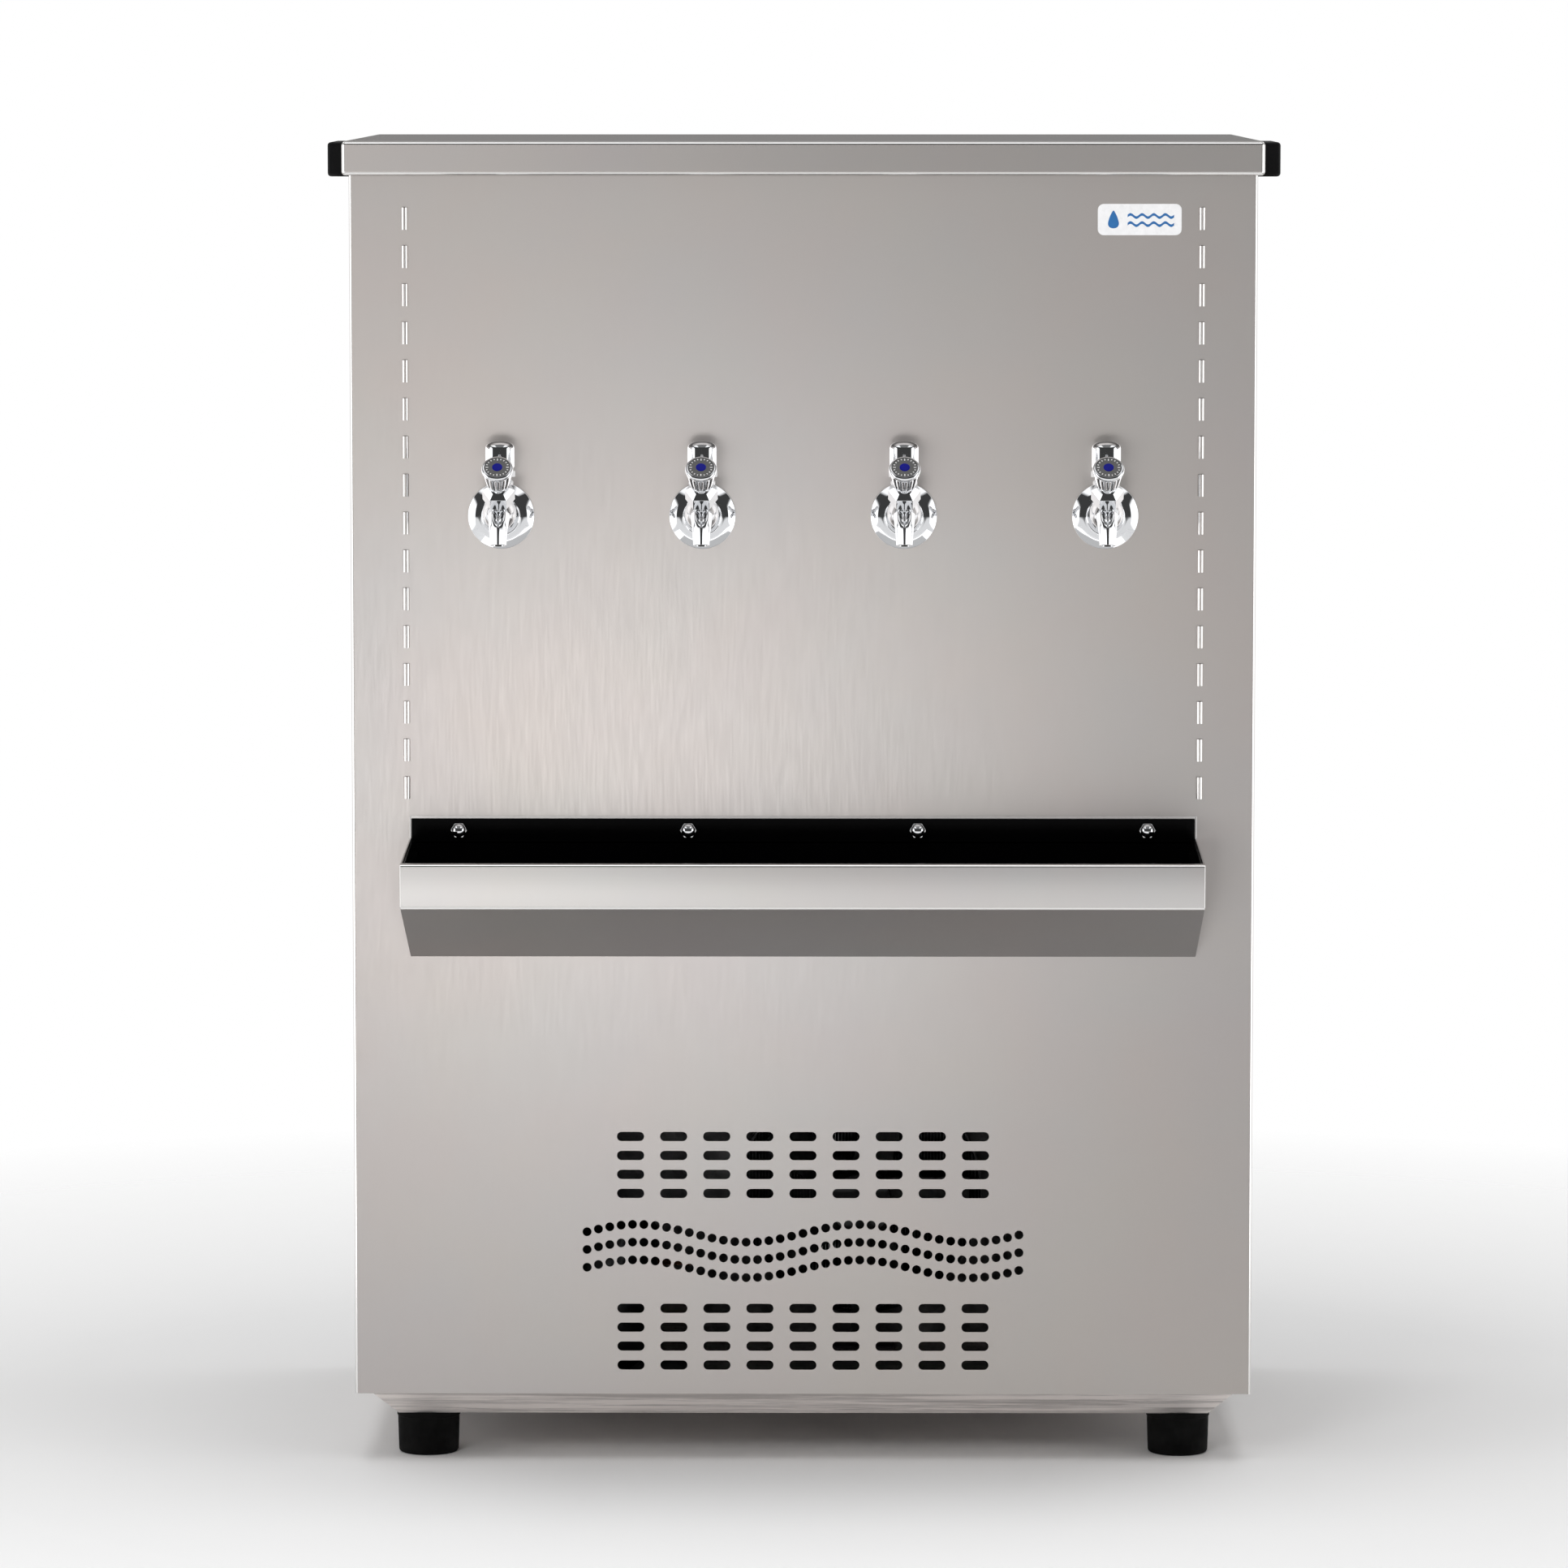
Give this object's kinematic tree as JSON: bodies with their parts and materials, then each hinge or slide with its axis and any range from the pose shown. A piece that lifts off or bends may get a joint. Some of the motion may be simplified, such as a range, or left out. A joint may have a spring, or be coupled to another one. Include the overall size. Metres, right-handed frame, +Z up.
{
  "type": "water dispenser",
  "caption": "Floor-standing stainless steel water cooler: chrome taps in a row over a sloping drain trough, vented cabinet on rubber feet and a lift-off insulated lid.",
  "frame": {"origin": "centre of the whole part's footprint, on the floor", "axes": "+Z up, the taps and the trough face -Y, and +X is to the right for a person who stands in front of the taps"},
  "size_m": [0.971, 0.764, 1.326],
  "materials": {
    "stainless_sheet": "satin",
    "galvanised_sheet": "satin",
    "zinc_fixings": "satin",
    "chrome": "polished",
    "brass": "satin",
    "copper": "satin",
    "rubber": "matte",
    "foot_rubber": "matte",
    "black_plastic": "matte",
    "grey_plastic": "matte",
    "pipe_plastic": "matte",
    "float_plastic": "gloss",
    "index_blue": "gloss",
    "badge_face": "gloss",
    "foam": "matte",
    "black_paint": "satin",
    "fin_aluminium": "satin"
  },
  "bodies": {
    "cabinet": {"front_panel": "stainless_sheet", "side_panel_left": "stainless_sheet", "side_panel_right": "stainless_sheet", "rear_panel": "galvanised_sheet", "rear_screws": "zinc_fixings", "base_tray": "galvanised_sheet", "frame_posts": "galvanised_sheet", "tank_shelf": "galvanised_sheet", "top_deck": "stainless_sheet", "badge": "badge_face", "lid_gasket": "rubber", "tank": "stainless_sheet", "tank_insulation": "foam", "evaporator_coil": "copper", "outlet_manifold": "copper", "water_inlet": "brass", "float_valve_body": "brass", "tap_rosettes": "chrome", "tap_gaskets": "rubber", "tap_bonnets": "chrome", "tap_breaker_caps": "chrome", "tap_locknuts": "brass", "trough_shell": "stainless_sheet", "trough_liner": "black_plastic", "trough_nuts": "chrome", "trough_drain": "chrome", "drain_pipe": "pipe_plastic", "compressor": "black_paint", "compressor_mounts": "rubber", "condenser": "fin_aluminium", "fan_shroud": "galvanised_sheet", "fan_motor": "black_paint", "refrigerant_lines": "copper", "thermostat": "pipe_plastic", "terminal_box": "grey_plastic", "cord_gland": "black_plastic", "feet": "foot_rubber", "foot_bolts": "zinc_fixings", "tap_1_body": "chrome", "tap_2_body": "chrome", "tap_3_body": "chrome", "tap_4_body": "chrome"},
    "lid": {"lid_shell": "stainless_sheet", "lid_foam": "foam", "lid_liner": "stainless_sheet", "lid_grip_left": "black_plastic", "lid_grip_right": "black_plastic"},
    "float": {"float_arm": "brass", "float_ball": "float_plastic"},
    "fan": {"fan_blade": "fin_aluminium"},
    "thermostat_dial": {"thermostat_knob": "black_plastic"},
    "knob_1": {"tap_1_knob": "chrome", "tap_1_index": "index_blue"},
    "knob_2": {"tap_2_knob": "chrome", "tap_2_index": "index_blue"},
    "knob_3": {"tap_3_knob": "chrome", "tap_3_index": "index_blue"},
    "knob_4": {"tap_4_knob": "chrome", "tap_4_index": "index_blue"}
  },
  "joints": [
    {"name": "lid_lift", "type": "slide", "parent": "cabinet", "child": "lid", "axis": [0, 0, 1], "range_m": [0, 0.15]},
    {"name": "knob_1_turn", "type": "hinge", "parent": "cabinet", "child": "knob_1", "pos_m": [-0.3, -0.242, 0.96], "axis": [0, -0.7071, 0.7071], "range_deg": [0, 180]},
    {"name": "knob_2_turn", "type": "hinge", "parent": "cabinet", "child": "knob_2", "pos_m": [-0.1, -0.242, 0.96], "axis": [0, -0.7071, 0.7071], "range_deg": [0, 180]},
    {"name": "knob_3_turn", "type": "hinge", "parent": "cabinet", "child": "knob_3", "pos_m": [0.1, -0.242, 0.96], "axis": [0, -0.7071, 0.7071], "range_deg": [0, 180]},
    {"name": "knob_4_turn", "type": "hinge", "parent": "cabinet", "child": "knob_4", "pos_m": [0.3, -0.242, 0.96], "axis": [0, -0.7071, 0.7071], "range_deg": [0, 180]},
    {"name": "float_rise", "type": "hinge", "parent": "cabinet", "child": "float", "pos_m": [-0.25, 0.246, 1.2], "axis": [-1, 0, 0], "range_deg": [0, 30]},
    {"name": "fan_spin", "type": "hinge", "parent": "cabinet", "child": "fan", "pos_m": [0.06, 0.2715, 0.2005], "axis": [0, -1, 0], "continuous": true},
    {"name": "thermostat_turn", "type": "hinge", "parent": "cabinet", "child": "thermostat_dial", "pos_m": [-0.3, 0.3595, 0.45], "axis": [0, 1, 0], "range_deg": [0, 270]}
  ]
}
